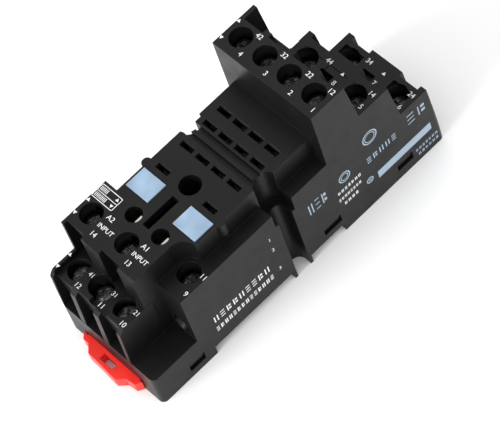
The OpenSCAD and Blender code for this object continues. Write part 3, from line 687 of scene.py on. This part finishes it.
CAMERA_TARGET = (0.35 * MM, -1.56 * MM, 10 * MM)
SENSOR_WIDTH, CLIP_END = 36, 20
FLOOR_REACH, FLOOR_GAP, FLOOR_CLOUD_SIZE = 3.0, 0.00002, 0.2
LIGHT_DIRECTION, LIGHT_DISTANCE, LIGHT_SIZE = (-0.95, 0.0, 0.4), 1.0, 0.5


class SOCKET_OT_stage(Operator):
    """Set up the camera, the floor and the soft light"""
    bl_idname = "socket.stage"
    bl_label = "Stage"

    def execute(self, context):
        stage = context.scene.socket_stage
        self.camera(context, stage)
        self.floor(stage)
        self.lights(context, stage)
        return {"FINISHED"}

    def camera(self, context, stage):
        """The camera looks at its target from azimuth, elevation and distance, then rolls."""
        target = Vector(CAMERA_TARGET)
        turn = Matrix.Rotation(stage.azimuth, 3, "Z")
        turn = turn @ Matrix.Rotation(radians(90) - stage.elevation, 3, "X")
        turn = turn @ Matrix.Rotation(stage.roll, 3, "Z")
        back = turn @ Vector((0, 0, 1))
        data = bpy.data.cameras.new("camera")
        data.lens = stage.lens
        data.sensor_width = SENSOR_WIDTH
        data.clip_end = CLIP_END
        camera = bpy.data.objects.new("camera", data)
        context.scene.collection.objects.link(camera)
        camera.matrix_world = Matrix.Translation(target + back * stage.distance) @ turn.to_4x4()
        context.scene.camera = camera

    def floor(self, stage):
        """A wide flat floor just under the feet."""
        reach = FLOOR_REACH
        z = CAD_BOX[0][2] - FLOOR_GAP
        obj = mesh_object("floor", [(-reach, -reach, z), (reach, -reach, z), (reach, reach, z),
                                    (-reach, reach, z)], [(0, 1, 2, 3)])
        material, tree, shader, place = new_material("floor_white")
        cloud = noise(tree, place, FLOOR_CLOUD_SIZE, 2)
        tree.links.new(ramp(tree, cloud, tint(stage.floor, 0.99), tint(stage.floor, 1.01)),
                       shader.inputs["Base Color"])
        shader.inputs["Roughness"].default_value = 0.9
        obj.data.materials.append(material)

    def lights(self, context, stage):
        """An even bright surround and one soft light off the latch end."""
        self.area(context, "main", Vector(LIGHT_DIRECTION), LIGHT_DISTANCE, LIGHT_SIZE, stage.main)
        world = context.scene.world or bpy.data.worlds.new("surround")
        context.scene.world = world
        world.use_nodes = True
        sky = world.node_tree.nodes["Background"]
        sky.inputs["Color"].default_value = (1, 1, 1, 1)
        sky.inputs["Strength"].default_value = stage.sky
        context.scene.view_settings.view_transform = "Standard"

    def area(self, context, name, direction, distance, size, power):
        """One square area light that faces the part."""
        data = bpy.data.lights.new(name, "AREA")
        data.energy = power
        data.size = size
        light = bpy.data.objects.new(name, data)
        context.scene.collection.objects.link(light)
        direction.normalize()
        light.location = direction * distance
        light.rotation_euler = direction.to_track_quat("Z", "Y").to_euler()


# ------------------------------------------------------------------ panel and registration

STEPS = (SOCKET_OT_housing, SOCKET_OT_latch, SOCKET_OT_pads, SOCKET_OT_metalwork,
         SOCKET_OT_numbers, SOCKET_OT_side_print, SOCKET_OT_stage)
SETTINGS = (("socket_plastic", SocketPlastic), ("socket_metal", SocketMetal),
            ("socket_print", SocketPrint), ("socket_stage", SocketStage))


class SOCKET_PT_panel(Panel):
    """Lists the settings and the steps in the sidebar"""
    bl_label = "Relay socket"
    bl_idname = "SOCKET_PT_panel"
    bl_space_type = "VIEW_3D"
    bl_region_type = "UI"
    bl_category = "Relay socket"

    def draw(self, context):
        for name, group in SETTINGS:
            box = self.layout.box()
            for key in group.__annotations__:
                box.prop(getattr(context.scene, name), key)
        for step in STEPS:
            self.layout.operator(step.bl_idname)


def register():
    """Registers the settings, the steps and the panel."""
    for name, group in SETTINGS:
        bpy.utils.register_class(group)
        setattr(bpy.types.Scene, name, PointerProperty(type=group))
    for step in STEPS:
        bpy.utils.register_class(step)
    bpy.utils.register_class(SOCKET_PT_panel)


def unregister():
    """Takes everything away again."""
    bpy.utils.unregister_class(SOCKET_PT_panel)
    for step in reversed(STEPS):
        bpy.utils.unregister_class(step)
    for name, group in reversed(SETTINGS):
        delattr(bpy.types.Scene, name)
        bpy.utils.unregister_class(group)


def main():
    """Runs every step in order."""
    register()
    for step in STEPS:
        group, action = step.bl_idname.split(".")
        getattr(getattr(bpy.ops, group), action)()
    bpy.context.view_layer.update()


if __name__ == "__main__":
    main()
